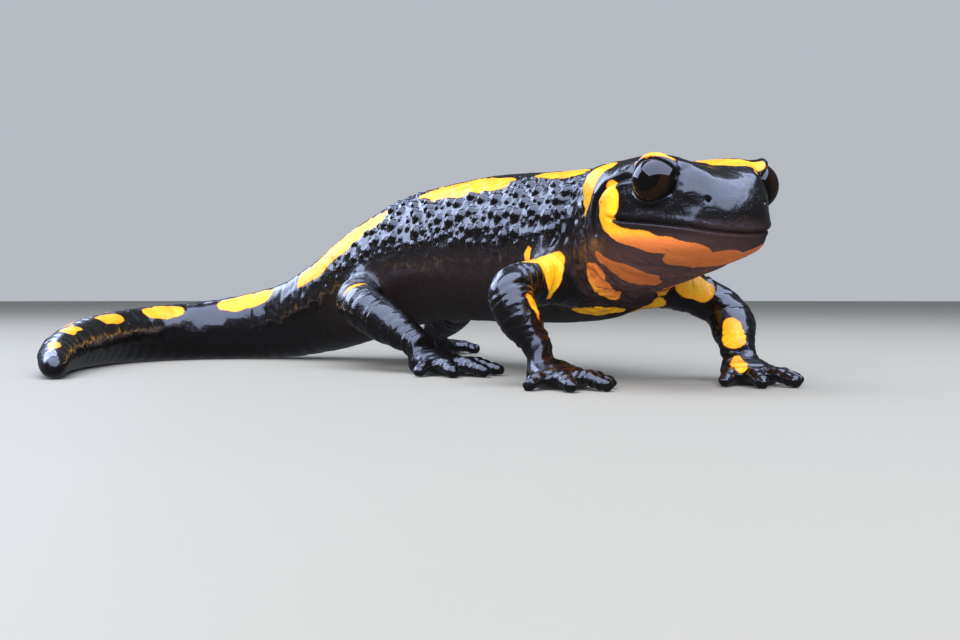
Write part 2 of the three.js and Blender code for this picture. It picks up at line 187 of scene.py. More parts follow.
def cast(points, faces):
    """The single outer shell of many closed shells that overlap."""
    mesh = bpy.data.meshes.new("flesh")
    mesh.from_pydata(points, [], faces)
    holder = bpy.data.objects.new("flesh", mesh)
    bpy.context.collection.objects.link(holder)
    remesh = holder.modifiers.new("cast", "REMESH")
    remesh.mode = "VOXEL"
    remesh.voxel_size = VOXEL
    result = bpy.data.meshes.new_from_object(holder.evaluated_get(bpy.context.evaluated_depsgraph_get()))
    bpy.data.objects.remove(holder)
    return result


class Hide:
    """The skin while it is being worked: its points in millimetres and what joins them."""

    def __init__(self, mesh):
        self.mesh = mesh
        flat = np.empty(len(mesh.vertices) * 3, np.float32)
        mesh.vertices.foreach_get("co", flat)
        self.points = flat.reshape(-1, 3).astype(float)
        pairs = np.empty(len(mesh.edges) * 2, np.int32)
        mesh.edges.foreach_get("vertices", pairs)
        ends = pairs.reshape(-1, 2)
        ends = np.concatenate([ends, ends[:, ::-1]])
        ends = ends[np.argsort(ends[:, 0], kind="stable")]
        self.neighbours = ends[:, 1]
        self.first = np.searchsorted(ends[:, 0], np.arange(len(self.points)))
        self.valence = np.diff(np.append(self.first, len(ends)))

    def around(self, values):
        """The mean of each point's neighbours."""
        total = np.add.reduceat(values[self.neighbours], self.first, axis=0)
        return total / (self.valence[:, None] if values.ndim > 1 else self.valence)

    def soften(self, share, rounds):
        for _ in range(rounds):
            self.points += share[:, None] * (self.around(self.points) - self.points)

    def blur(self, values, rounds):
        for _ in range(rounds):
            values = 0.5 * values + 0.5 * self.around(values)
        return values

    def store(self):
        self.mesh.vertices.foreach_set("co", self.points.astype(np.float32).ravel())
        self.mesh.update()

    def normals(self):
        self.store()
        flat = np.empty(len(self.points) * 3, np.float32)
        self.mesh.vertex_normals.foreach_get("vector", flat)
        return flat.reshape(-1, 3).astype(float)

    def lift(self, height):
        self.points += self.normals() * height[:, None]

    def refined(self, chosen):
        """The same skin with every edge between two chosen points halved."""
        self.store()
        form = bmesh.new()
        form.from_mesh(self.mesh)
        fine = [e for e in form.edges if chosen[e.verts[0].index] and chosen[e.verts[1].index]]
        bmesh.ops.subdivide_edges(form, edges=fine, cuts=1, use_grid_fill=True)
        form.to_mesh(self.mesh)
        form.free()
        return Hide(self.mesh)


flesh_points, flesh_faces, flesh_owners = shells(0)
flesh_tree = BVHTree.FromPolygons([Vector(p) for p in flesh_points], flesh_faces)
hide = Hide(cast(*shells(SWELL)[:2]))
node_names = list(nodes)


def owners_of(points):
    """Which node each point of the skin lies over."""
    return np.array([flesh_owners[flesh_tree.find_nearest(point)[2]] for point in points.tolist()])


def over(*names):
    return np.isin(owner, [node_names.index(name) for name in names]).astype(float)


HANDS_AND_FEET = ["hand_right", "hand_left", "foot_right", "foot_left"]
HEAD = ["head", "lower_jaw", "eye_left", "eye_right"]
FEET_BLEND, FACE_BLEND, TRUNK_BLEND = 6, 20, 8  # rounds that soften the edge of a region
FEET_SPARED, FACE_SPARED, LEAST_FAIRED = 0.93, 0.6, 0.05  # toes and head keep most of their form
owner = owners_of(hide.points)
feet = hide.blur(over(*HANDS_AND_FEET), FEET_BLEND)
face = hide.blur(over(*HEAD), FACE_BLEND)
hide.soften(np.clip(1.0 - FEET_SPARED * feet - FACE_SPARED * face, LEAST_FAIRED, 1), FAIRING)
hide.lift(np.full(len(hide.points), -SETTLE))

# ------------------------------------------------------------------ lines of the body
# Places on a limp body are told by how far back along it and how far round it they lie, so its lines are
# found first: the spine through the partings of the trunk and tail, the head's own axes, and the mouth.

PARTING = 0.45  # widest gap between neighbouring nodes, with some room


def parting(ahead, behind):
    """Middle of the gap between two neighbouring nodes and the way back across it."""
    one, other = nodes[ahead][0], nodes[behind][0]
    reach = np.linalg.norm(one[:, None] - other[None], axis=2)
    near_one, near_other = one[reach.min(1) < PARTING], other[reach.min(0) < PARTING]
    middle_one = (near_one.min(0) + near_one.max(0)) / 2
    middle_other = (near_other.min(0) + near_other.max(0)) / 2
    spokes = np.vstack([near_one - near_one.mean(0), near_other - near_other.mean(0)])
    across = np.linalg.svd(spokes)[2][2]
    return (middle_one + middle_other) / 2, across * np.sign(across @ (middle_other - middle_one))


between = np.array(between_eyes) / MM
eye_middles = {side: np.array(centre) / MM for side, centre in eye_centres.items()}
head_left = eye_middles["left"] - eye_middles["right"]
head_left /= np.linalg.norm(head_left)
head_forward = np.cross(head_left, (0, 0, 1))
head_axes = np.stack([head_forward, head_left, (0, 0, 1)], axis=1)

TRUNK_ORDER = ["head", "neck", "shoulders", "trunk", "loin", "hips", "tail_1", "tail_2", "tail_3", "tail_4"]
joints = [parting(*pair) for pair in zip(TRUNK_ORDER, TRUNK_ORDER[1:])]
snout_reach = ((nodes["lower_jaw"][0] - between) @ head_forward).max()
snout = between + head_forward * snout_reach
snout[2] = joints[0][0][2]
last = nodes["tail_4"][0]
tail_tip = last[np.argmax(np.linalg.norm(last - joints[-1][0], axis=1))].copy()
tail_tip[2] = last[:, 2].max() / 2
tail_end = (tail_tip - joints[-1][0]) / np.linalg.norm(tail_tip - joints[-1][0])
stations = [(snout, -head_forward)] + joints + [(tail_tip, tail_end)]
SPINE_STEPS = 24
spine = []
for (start, start_way), (end, end_way) in zip(stations, stations[1:]):
    span = np.linalg.norm(end - start)
    for t in np.arange(SPINE_STEPS) / SPINE_STEPS:
        spine.append(
            start * (2 * t**3 - 3 * t**2 + 1) + start_way * span * (t**3 - 2 * t**2 + t)
            + end * (3 * t**2 - 2 * t**3) + end_way * span * (t**3 - t**2)
        )
spine = np.array(spine + [tail_tip])
spine_reach = np.concatenate([[0], np.cumsum(np.linalg.norm(np.diff(spine[:, :2], axis=0), axis=1))])


class Places:
    """Where each point lies on the body: along the spine, degrees round from the back's middle and more."""

    def __init__(self, points):
        plan = spine[:, :2]
        nearest = np.argmin((plan**2).sum(1) - 2 * points[:, :2] @ plan.T, axis=1)
        nearest = np.clip(nearest, 1, len(spine) - 2)
        back = spine[nearest + 1, :2] - spine[nearest - 1, :2]
        back /= np.linalg.norm(back, axis=1, keepdims=True)
        offset = points[:, :2] - spine[nearest, :2]
        self.along = spine_reach[nearest] + (offset * back).sum(1)
        self.side = back[:, 1] * offset[:, 0] - back[:, 0] * offset[:, 1]
        self.rise = points[:, 2] - np.interp(self.along, spine_reach, spine[:, 2])
        self.girth = np.hypot(self.side, self.rise)
        self.turn = np.degrees(np.arctan2(self.side, self.rise))
        self.head = (points - between) @ head_axes
        self.out = np.abs(self.head[:, 1])


def step(x, low, high):
    """0 at low, 1 at high and a smooth rise between them."""
    t = np.clip((x - low) / (high - low), 0, 1)
    return t * t * (3 - 2 * t)


MOUTH_CORNER = -5.0
MOUTH_LINE = {"ahead": [-5.8, -3.6, -1.5, 1.5, 4.5, 7.2], "above": [-3.5, -3.95, -4.2, -4.55, -5.05, -5.85]}


def mouth_height(x):
    """Height of the line of the mouth beside a place this far ahead of the eyes."""
    return np.interp(x, MOUTH_LINE["ahead"], MOUTH_LINE["above"])


# The cast skin gets finer faces round the eyes, mouth and nostrils and on the wrinkled neck.
NOSTRIL = np.array([5.75, 3.75, -2.2])
FINE_ROUND_EYE, FINE_AT_MOUTH, FINE_BEHIND_MOUTH, FINE_AT_NOSTRIL = 2.0, 1.0, 1.2, 1.2
FINE_NECK = {"from": 17, "to": 27.5, "from_turn": 30, "out": 10.5}
FACE_EASED, EASING = 0.5, 3  # share and rounds that take the cast's steps off the head
eye_radius = max(high - low for low, high in zip(*eye_boxes["right"])) / 2 / MM

place = Places(hide.points)
from_eye = np.min([np.linalg.norm(hide.points - centre, axis=1) for centre in eye_middles.values()], axis=0)
x, z = place.head[:, 0], place.head[:, 2]
at_mouth = (np.abs(z - mouth_height(x)) < FINE_AT_MOUTH) & (x > MOUTH_CORNER - FINE_BEHIND_MOUTH)
at_nostril = np.linalg.norm(np.stack([x, place.out, z], axis=1) - NOSTRIL, axis=1) < FINE_AT_NOSTRIL
on_neck = (place.along > FINE_NECK["from"]) & (place.along < FINE_NECK["to"])
on_neck &= (np.abs(place.turn) > FINE_NECK["from_turn"]) & (place.out < FINE_NECK["out"])
hide = hide.refined((from_eye < eye_radius + FINE_ROUND_EYE) | at_mouth | at_nostril | on_neck)
owner = np.concatenate([owner, owners_of(hide.points[len(owner):])])
face = hide.blur(over(*HEAD), FACE_BLEND)
trunk = hide.blur(over(*TRUNK_ORDER[1:], *HEAD), TRUNK_BLEND)
hide.soften(FACE_EASED * step(face, 0.5, 1), EASING)

# ------------------------------------------------------------------ the head
# Broad and flat, with bulging eyes under lids, a wide mouth with soft lips, small nostrils, a fold that
# curls down behind the cheek, and a swollen poison gland behind each eye. All of it is skin, raised or sunk
# by heights that are added up first.

AXIS_PRIMES, SEED_PRIME = (73856093, 19349663, 83492791), 7919
SCRAMBLE, WRAP, LEVELS = 2654435761, 4294967291, 10005


def grain(coordinates, seed):
    """Smooth random heights from -1 to 1 over up to three rows of coordinates, about one wave to a unit."""
    columns = np.stack(np.broadcast_arrays(*coordinates), axis=1)
    cell = np.floor(columns).astype(np.int64)
    part = columns - cell
    part = part * part * (3 - 2 * part)
    total = np.zeros(len(columns))
    for corner in np.ndindex(*(2,) * columns.shape[1]):
        key = np.full(len(columns), seed * SEED_PRIME, np.int64)
        share = np.ones(len(columns))
        for axis, side in enumerate(corner):
            key = (key ^ (cell[:, axis] + side) * AXIS_PRIMES[axis]) * SCRAMBLE % WRAP
            share *= part[:, axis] if side else 1 - part[:, axis]
        total += share * ((key >> 7) % (2 * LEVELS + 1) / LEVELS - 1)
    return total


def lumps(points, size, seed):
    """The same grain over places in space, with lumps of about this size."""
    return grain(list(points.T / size), seed)


def hump(x, middle, spread):
    """1 in the middle, falling away to 0 on both sides."""
    return np.exp(-(((x - middle) / spread) ** 2))


def band(x, starts, ends):
    """1 in a band that fades in over its start and out over its end."""
    return step(x, *starts) * (1 - step(x, *ends))


def along_path(points, path):
    """Distance of each point from a path, and how far along it the nearest place lies, from 0 to 1."""
    path = np.array(path, float)
    lengths = np.linalg.norm(np.diff(path, axis=0), axis=1)
    starts = np.concatenate([[0], np.cumsum(lengths)])
    best, where = np.full(len(points), np.inf), np.zeros(len(points))
    for a, b, start, length in zip(path, path[1:], starts, lengths):
        t = np.clip((points - a) @ (b - a) / length**2, 0, 1)
        distance = np.linalg.norm(points - a - t[:, None] * (b - a), axis=1)
        closer = distance < best
        best[closer] = distance[closer]
        where[closer] = (start + t[closer] * length) / starts[-1]
    return best, where


LIP_GROOVE = {"depth": 0.42, "width": 0.16}
UPPER_LIP = {"high": 0.13, "above": 0.5, "width": 0.35}
LOWER_LIP = {"high": 0.10, "above": -0.5, "width": 0.3}
SET_BACK_JAW = {"depth": 0.22, "starts": (-0.1, 0.2), "ends": (0.9, 2.6)}
LIPS_START = (-0.5, 0.4)  # from the corner of the mouth
NOSTRIL_PIT = {"depth": 0.5, "radius": 0.22}
CHEEK_FOLD = [(-3.4, 8.6, 0.7), (-5.9, 9.3, -0.2), (-7.2, 9.7, -1.6), (-8.0, 9.7, -3.2), (-8.3, 9.4, -5.2)]
FOLD_FORM = {"depth": 0.45, "width": 0.33, "bank": 0.12, "bank_at": 0.8, "bank_width": 0.4}
HEAD_GRAIN = {"high": 0.035, "size": 0.7, "from": 0.5, "to": 1.2}  # it starts above the mouth's line
HEAD_ENDS = (-16, -13)
HEAD_SWELLINGS = [
    {"name": "poison gland", "at": (-10.6, 8.0, 1.4), "reach": (3.6, 2.6, 2.2), "high": 0.55},
    {"name": "cheek", "at": (-5.0, 9.4, -1.9), "reach": (1.6, 2.0, 2.0), "high": 0.35},
    {"name": "hollow before the eye", "at": (4.2, 5.2, -2.7), "reach": (2.0, 1.6, 1.2), "high": -0.22},
    {"name": "snout's ridge", "at": (4.4, 3.4, 0.6), "reach": (2.6, 1.2, 1.0), "high": 0.22},
    {"name": "furrow of the crown", "at": (-3.5, 0.0, 2.5), "reach": (6.5, 2.6, 2.5), "high": -0.6},
    {"name": "temple's ridge", "at": (-4.5, 5.0, 2.8), "reach": (5.0, 1.6, 1.6), "high": 0.3},
]


def head_relief(place):
    """Height of the folds and swellings of the head, the same on both sides."""
    x, z = place.head[:, 0], place.head[:, 2]
    spot = np.stack([x, place.out, z], axis=1)
    height = np.zeros(len(x))
    for form in HEAD_SWELLINGS:
        away = ((spot - form["at"]) / form["reach"]) ** 2
        height += form["high"] * np.exp(-away.sum(1))
    line = mouth_height(x)
    from_line = z - line
    lips = -LIP_GROOVE["depth"] * hump(from_line, 0, LIP_GROOVE["width"])
    for lip in (UPPER_LIP, LOWER_LIP):
        lips += lip["high"] * hump(from_line, lip["above"], lip["width"])
    lips -= SET_BACK_JAW["depth"] * band(-from_line, SET_BACK_JAW["starts"], SET_BACK_JAW["ends"])
    height += lips * step(x - MOUTH_CORNER, *LIPS_START)
    fold, _ = along_path(spot, CHEEK_FOLD)
    height -= FOLD_FORM["depth"] * hump(fold, 0, FOLD_FORM["width"])
    height += FOLD_FORM["bank"] * hump(fold, FOLD_FORM["bank_at"], FOLD_FORM["bank_width"])
    pit = np.linalg.norm(spot - NOSTRIL, axis=1)
    height -= NOSTRIL_PIT["depth"] * hump(pit, 0, NOSTRIL_PIT["radius"])
    above = step(z, line + HEAD_GRAIN["from"], line + HEAD_GRAIN["to"])
    height += HEAD_GRAIN["high"] * lumps(spot, HEAD_GRAIN["size"], seed=51) * above
    return height * step(x, *HEAD_ENDS)


LID = {  # the first six in degrees: which way the eye looks, and how far its opening reaches from there
    "forward": 27, "upward": 10, "ahead": 82, "behind": 78, "up": 48, "down": 63,
    "corner": 6, "corner_sharpness": 12, "drop": 0.55, "rim": 0.24,
}
LID_RISE, LID_FADE = (-0.38, 0.22), (0.35, 1.5)  # past the opening's edge
LID_FURROW = {"depth": 0.08, "at": 1.2, "width": 0.3}
BROW = {"high": 0.42, "at": 1.0, "width": 0.75, "fall": 1.5}
LEFT_ALONE = {"past_ball": (0.6, 1.4), "past_edge": (-0.9, -0.4)}  # skin that stands clear of the eye
LIDS_REACH, LIDS_TURN = 3.2, 150


def gaze_of(side):
    """The way an eye looks: outwards, a little ahead and up."""
    outward = head_axes @ np.array([0, 1 if side == "left" else -1, 0.0])
    tilt, lift = math.radians(LID["forward"]), math.radians(LID["upward"])
    gaze = (outward * math.cos(tilt) + head_forward * math.sin(tilt)) * math.cos(lift)
    gaze[2] += math.sin(lift)
    return gaze


class EyePlaces:
    """Where points lie about an eye: how far out, round its opening from ahead, and past its edge."""

    def __init__(self, side, points):
        gaze = gaze_of(side)
        fore = head_forward - gaze * (head_forward @ gaze)
        fore /= np.linalg.norm(fore)
        up = np.cross(gaze, fore) * (1 if side == "right" else -1)
        self.spoke = points - eye_middles[side]
        self.far = np.linalg.norm(self.spoke, axis=1)
        self.spoke /= self.far[:, None]
        self.off_gaze = np.degrees(np.arccos(np.clip(self.spoke @ gaze, -1, 1)))
        self.around = np.arctan2(self.spoke @ up, self.spoke @ fore)
        across = np.where(np.cos(self.around) > 0, LID["ahead"], LID["behind"])
        high = np.where(np.sin(self.around) > 0, LID["up"], LID["down"])
        opening = 1 / np.sqrt((np.cos(self.around) / across) ** 2 + (np.sin(self.around) / high) ** 2)
        opening += LID["corner"] * np.abs(np.cos(self.around)) ** LID["corner_sharpness"]
        self.edge = np.radians(self.off_gaze - opening) * eye_radius
        self.near = (self.far < eye_radius + LIDS_REACH) & (self.off_gaze < LIDS_TURN)


def lid_reach(eye):
    """How far from the eye's middle its skin ends up: under the ball in the opening, and a rim round it."""
    lid = eye_radius - LID["drop"] + (LID["drop"] + LID["rim"]) * step(eye.edge, *LID_RISE)
    clear = step(eye.far - eye_radius, *LEFT_ALONE["past_ball"]) * step(eye.edge, *LEFT_ALONE["past_edge"])
    outside = np.maximum(step(eye.edge, *LID_FADE), clear)
    furrow = LID_FURROW["depth"] * hump(eye.edge, LID_FURROW["at"], LID_FURROW["width"]) * (1 - clear)
    above = np.clip(np.sin(eye.around), 0, 1) ** BROW["fall"]
    brow = BROW["high"] * hump(eye.edge, BROW["at"], BROW["width"]) * above
    return lid * (1 - outside) + eye.far * outside - furrow + brow


place = Places(hide.points)
eyes = {side: EyePlaces(side, hide.points) for side in ("left", "right")}
relief = head_relief(place)

# ------------------------------------------------------------------ trunk and tail
# Rounded poison glands stud the upper flanks like wet beads. Below them the skin is smooth, with grooves
# between the ribs and fine upright wrinkles, and the tail is ringed all along.

GLAND_SIZES = [
    {"name": "large", "radius": (0.78, 1.0), "tries": 420, "from_turn": 38, "to_turn": 84},
    {"name": "middling", "radius": (0.42, 0.60), "tries": 1300, "from_turn": 28, "to_turn": 88},
    {"name": "small", "radius": (0.26, 0.34), "tries": 1800, "from_turn": 24, "to_turn": 90},
]
GLANDS_FROM, GLANDS_TO, GLANDS_THIN_FROM = 25.5, 92.0, 62.0
GLANDS_ROUND = 110  # none reaches farther round than this
GLANDS_SMALLER, GLANDS_FEWER = 0.4, 0.85  # by this share at the hips
GLAND_FORM = {"high": 0.66, "roundness": 0.62, "sharper": 1.2, "small": (0.55, 0.3)}
WELL_ON_TRUNK, ON_TRUNK = 0.9, 0.5
CELL = 2.0  # of the grid that finds a gland's neighbours, as wide as the largest gland


def scatter_glands(place, random):
    """Places and sizes for the glands, large ones first, none nearer than where they just touch."""
    found, cells = [], {}
    turn = np.abs(place.turn)
    for kind in GLAND_SIZES:
        zone = (turn > kind["from_turn"]) & (turn < kind["to_turn"]) & (trunk > WELL_ON_TRUNK)
        zone &= (place.along > GLANDS_FROM) & (place.along < GLANDS_TO)
        spots = random.choice(np.flatnonzero(zone), kind["tries"])
        for spot in spots:
            tail_ward = step(place.along[spot], GLANDS_THIN_FROM, GLANDS_TO)
            radius = random.uniform(*kind["radius"]) * (1 - GLANDS_SMALLER * tail_ward)
            if random.uniform() < GLANDS_FEWER * tail_ward:
                continue
            centre = hide.points[spot]
            cell = tuple(np.floor(centre / CELL).astype(int))
            neighbours = [
                gland for dx in (-1, 0, 1) for dy in (-1, 0, 1) for dz in (-1, 0, 1)
                for gland in cells.get((cell[0] + dx, cell[1] + dy, cell[2] + dz), ())
            ]
            if all(np.sum((centre - c) ** 2) > (radius + r) ** 2 for c, r in neighbours):
                cells.setdefault(cell, []).append((centre, radius))
                found.append((centre, radius))
    return found


def gland_relief(glands, place):
    """Height of the round tops of the glands."""
    near = (trunk > ON_TRUNK) & (place.along > GLANDS_FROM - CELL) & (place.along < GLANDS_TO + CELL)
    indices = np.flatnonzero(near & (np.abs(place.turn) < GLANDS_ROUND))
    lookup = KDTree(len(indices))
    for index, point in zip(indices, hide.points[indices].tolist()):
        lookup.insert(point, index)
    lookup.balance()
    height = np.zeros(len(hide.points))
    for centre, radius in glands:
        taper = GLAND_FORM["roundness"] + GLAND_FORM["sharper"] * step(radius, *GLAND_FORM["small"])
        for _, index, distance in lookup.find_range(centre, radius):
            top = radius * GLAND_FORM["high"] * (1 - (distance / radius) ** 2) ** taper
            height[index] = max(height[index], top)
    return height


GLAND_ZONE = {"starts": (16, 20), "ends": (84, 92), "under": (88, 92)}
BEHIND_NECK = {"starts": (24, 30), "ends": (92, 104)}
RIBS = {"from": 39.0, "to": 75.0, "apart": 4.1, "depth": 0.07, "width": 0.7}
RIBS_ROUND = {"starts": (70, 100), "ends": (130, 150)}
TAIL_RINGS = {"from": 94.0, "short_of_tip": 3, "apart": 3.1, "depth": 0.10, "width": 0.45}
RING_SWAY, RING_WAVES, SLIMMING = 0.3, 40, (1.6, 0.5)
GLAND_SEED = 11

turn = np.abs(place.turn)
gland_zone = trunk * band(place.along, GLAND_ZONE["starts"], GLAND_ZONE["ends"])
gland_zone *= 1 - step(turn, *GLAND_ZONE["under"])
glands = scatter_glands(place, np.random.default_rng(GLAND_SEED))
gland_tops = gland_relief(glands, place)
behind_neck = band(place.along, BEHIND_NECK["starts"], BEHIND_NECK["ends"]) * trunk
beside = band(turn, RIBS_ROUND["starts"], RIBS_ROUND["ends"])
for at in np.arange(RIBS["from"], RIBS["to"], RIBS["apart"]):
    relief -= RIBS["depth"] * hump(place.along, at, RIBS["width"]) * beside * trunk
slimming = np.interp(place.along, spine_reach[[0, -1]], SLIMMING)
for at in np.arange(TAIL_RINGS["from"], spine_reach[-1] - TAIL_RINGS["short_of_tip"], TAIL_RINGS["apart"]):
    ring = at + RING_SWAY * grain([place.turn / RING_WAVES, at], seed=5)
    relief -= TAIL_RINGS["depth"] * slimming * hump(place.along, ring, TAIL_RINGS["width"]) * trunk

# Fine wrinkles run round the body: thin lines on the neck and throat, with small beads among those of the
# neck, and a faint swell on the flank. The back has a fine and a coarser grain.
FLANK_LINES = {"apart": 0.7, "sway": 0.5, "sway_round": 9, "sway_along": 3, "long": 16, "seeds": (6, 3)}
NECK_LINES = {"apart": 0.85, "sway": 0.8, "sway_round": 11, "sway_along": 2.5, "long": 18, "seeds": (8, 4)}
THROAT_LINES = {"apart": 0.9, "sway": 0.7, "sway_round": 14, "sway_along": 3, "long": 30, "seeds": (18, 14)}
LINE_WIDTH = 0.36
FLANK = {"below": (84, 112), "high": 0.04}
NECK = {"starts": (16.5, 19.5), "ends": (24.5, 28.5), "below": (24, 50), "depth": 0.32, "raised": 0.08}
NECK_BEADS = {"high": 0.20, "size": 0.62, "least": -0.2}
THROAT = {"below": (6.5, 9.5), "starts": (-24, -20), "ends": (0, 4), "depth": 0.18}
BACK = {"starts": (14, 24), "down_to": (96, 108)}
FINE_GRAIN = {"high": 0.06, "size": 0.8, "level": 0.4}
COARSE_GRAIN = {"high": 0.13, "size": 1.4, "below": (24, 40)}


def round_lines(place, apart, sway, sway_round, sway_along, long, seeds):
    """Grain drawn out round the body, in lines this far apart that sway from side to side."""
    swaying = sway * grain([place.turn / sway_round, place.along / sway_along], seeds[0])
    return grain([place.along / apart + swaying, place.turn / long], seeds[1])


relief += FLANK["high"] * round_lines(place, **FLANK_LINES) * step(turn, *FLANK["below"]) * behind_neck
neck = trunk * band(place.along, NECK["starts"], NECK["ends"]) * step(turn, *NECK["below"])
neck_lines = NECK["depth"] * hump(round_lines(place, **NECK_LINES), 0, LINE_WIDTH)
neck_beads = np.clip(lumps(hide.points, NECK_BEADS["size"], seed=9), NECK_BEADS["least"], 1)
relief -= neck * (neck_lines - NECK["raised"] - NECK_BEADS["high"] * neck_beads)
x, z = place.head[:, 0], place.head[:, 2]
throat = step(-z, *THROAT["below"]) * band(x, THROAT["starts"], THROAT["ends"]) * trunk
relief -= THROAT["depth"] * throat * hump(round_lines(place, **THROAT_LINES), 0, LINE_WIDTH)
back = trunk * step(place.along, *BACK["starts"]) * (1 - step(turn, *BACK["down_to"]))
fine_grain = np.abs(lumps(hide.points, FINE_GRAIN["size"], seed=41)) - FINE_GRAIN["level"]
coarse_grain = lumps(hide.points, COARSE_GRAIN["size"], seed=43) * step(turn, *COARSE_GRAIN["below"])
relief += back * (FINE_GRAIN["high"] * fine_grain + COARSE_GRAIN["high"] * coarse_grain)

# ------------------------------------------------------------------ legs
# Stout legs with loose skin that folds at elbow, wrist, knee and ankle, and thick soft toes without claws,
# creased across at their knuckles.

PARTS_OF_LEG = {"fore": ("upper_arm", "forearm", "hand"), "hind": ("thigh", "shin", "foot")}
LEGS = {
    f"{pair}_{side}": [f"{part}_{side}" for part in parts]
    for side in ("right", "left") for pair, parts in PARTS_OF_LEG.items()
}
ROOT_POINTS = 12  # the upper node's farthest points from the elbow, whose middle is the shoulder or hip
TOES_START = (4.0, 5.5)  # out from the wrist
JOINT_FOLDS = {"elbow": (-1.5, -0.4, 0.9), "wrist": (-1.4, -0.3, 0.8)}
FOLDS = {"depth": 0.15, "width": 0.28, "sway": 0.25, "sway_size": 2}
LEG_WRINKLES = {"depth": 0.15, "width": 0.3, "apart": 0.8, "long": 3}
KNUCKLES = {"apart": 1.2, "depth": 0.15, "width": 0.25, "sway": 0.15}
LOOSE_AT_WRIST = {"share": 0.9, "reach": (1.3, 3.2), "rounds": 50}


class LegPlaces:
    """Where a leg's points lie: how far below its elbow or knee and how far out from its wrist or ankle."""

    def __init__(self, upper, lower, foot):
        self.mask = over(upper, lower, foot).astype(bool)
        self.points = hide.points[self.mask]
        self.elbow, _ = parting(upper, lower)
        self.wrist, _ = parting(lower, foot)
        palm = nodes[foot][0].mean(0)
        root = nodes[upper][0]
        root = root[np.argsort(-np.linalg.norm(root - self.elbow, axis=1))[:ROOT_POINTS]].mean(0)
        path = np.array([root, self.elbow, self.wrist, palm])
        lengths = np.linalg.norm(np.diff(path, axis=0), axis=1)
        _, where = along_path(self.points, path)
        self.along = where * lengths.sum() - lengths[0]
        self.wrist_at = lengths[1]
        self.reach = np.linalg.norm(self.points[:, :2] - self.wrist[:2], axis=1)
        self.toes = step(self.reach, *TOES_START) * over(foot)[self.mask]


legs = {name: LegPlaces(*parts) for name, parts in LEGS.items()}
loose = np.zeros(len(hide.points))
for leg in legs.values():
    from_wrist = np.abs(leg.along - leg.wrist_at)
    loose[leg.mask] = LOOSE_AT_WRIST["share"] * (1 - step(from_wrist, *LOOSE_AT_WRIST["reach"]))
hide.soften(loose, LOOSE_AT_WRIST["rounds"])
for leg in legs.values():
    wander = lumps(leg.points, FOLDS["sway_size"], seed=21) * FOLDS["sway"]
    folds = np.zeros(len(leg.points))
    for at in [*JOINT_FOLDS["elbow"], *(leg.wrist_at + fold for fold in JOINT_FOLDS["wrist"])]:
        folds -= FOLDS["depth"] * hump(leg.along + wander, at, FOLDS["width"])
    across = [leg.along / LEG_WRINKLES["apart"], *(leg.points[:, :2] / LEG_WRINKLES["long"]).T]
    folds -= LEG_WRINKLES["depth"] * hump(grain(across, seed=22), 0, LEG_WRINKLES["width"])
    crease = (leg.reach / KNUCKLES["apart"] + KNUCKLES["sway"] * wander + 0.5) % 1 - 0.5
    knuckles = KNUCKLES["depth"] * hump(np.abs(crease) * KNUCKLES["apart"], 0, KNUCKLES["width"])
    relief[leg.mask] += folds * (1 - leg.toes) - knuckles * leg.toes

# ------------------------------------------------------------------ marks
# Warm yellow patches of pigment in the black skin: a row down each side of the back and tail, one over each
# eye, poison gland and cheek, orange ones along the jaw and throat, and some on the legs. The orange, darker
# low down, is partly the marks' own colour and partly painted shade. Each has its own outline, drawn by
# strokes of varying radius and kept as each point's distance inside it.

BACK_MARKS = [  # along the spine, degrees round, radius
    [(28.2, -24, 1.3), (33, -21, 2.3), (38.2, -21, 1.5)],
    [(44.0, -36, 1.7), (52, -38, 2.9), (60, -37, 2.7), (64.4, -36, 1.4)],
    [(74.2, -50, 1.6), (82, -50, 2.5), (89, -50, 2.4), (94.6, -50, 1.3)],
    [(103.5, -34, 1.5), (108, -33, 2.2), (111.8, -34, 1.5)],
    [(121.0, -34, 1.4), (124, -32, 1.9), (127.0, -33, 1.3)],
    [(135.4, -30, 1.2), (138, -28, 1.6), (140.6, -28, 1.1)],
    [(151.0, -12, 1.0), (153.5, -10, 1.3), (156.0, -12, 0.9)],
    [(165.0, 8, 0.7), (167.5, 8, 0.9)],
    [(30.0, 24, 1.5), (35, 22, 2.4), (39.4, 23, 1.7)],
    [(46.6, 38, 1.7), (53, 36, 2.8), (58.4, 37, 2.2)],
    [(64.0, 36, 1.6), (70, 40, 2.4)],
    [(78.0, 46, 1.8), (86, 48, 2.5), (92.0, 48, 1.6)],
    [(100.0, 34, 1.5), (106, 36, 2.0)],
    [(116.0, 36, 1.6), (120, 34, 1.9)],
    [(130.0, 34, 1.3), (134.0, 32, 1.6)],
    [(145.0, 30, 1.1), (148.5, 28, 1.3)],
    [(31.2, -89, 0.35), (31.6, -96, 0.8), (31.8, -102, 0.7)],
]
HEAD_MARKS = [  # ahead of the eyes, out from the middle, above the eyes, radius; on both sides
    [
        (-8.2, 7.5, 2.3, 1.2), (-8.9, 8.4, 1.2, 1.5), (-9.6, 9.1, 0.0, 1.5), (-10.5, 9.4, -1.4, 1.3),
        (-11.2, 9.2, -2.6, 0.7),
    ],
    [
        (-5.1, 9.2, -0.5, 1.0), (-5.0, 9.4, -1.4, 1.6), (-4.9, 9.6, -2.4, 1.6), (-5.6, 9.8, -3.6, 1.1),
        (-5.4, 9.7, -4.6, 0.9),
    ],
    [
        (-5.4, 9.7, -4.6, 0.9), (-3.4, 8.7, -5.7, 0.95), (-1.0, 7.6, -6.5, 1.25), (1.2, 6.4, -7.1, 1.35),
        (3.2, 3.6, -7.7, 1.7),
    ],
    [(0.4, 3.0, -8.4, 2.6), (1.0, 0.0, -8.7, 4.0)],
]
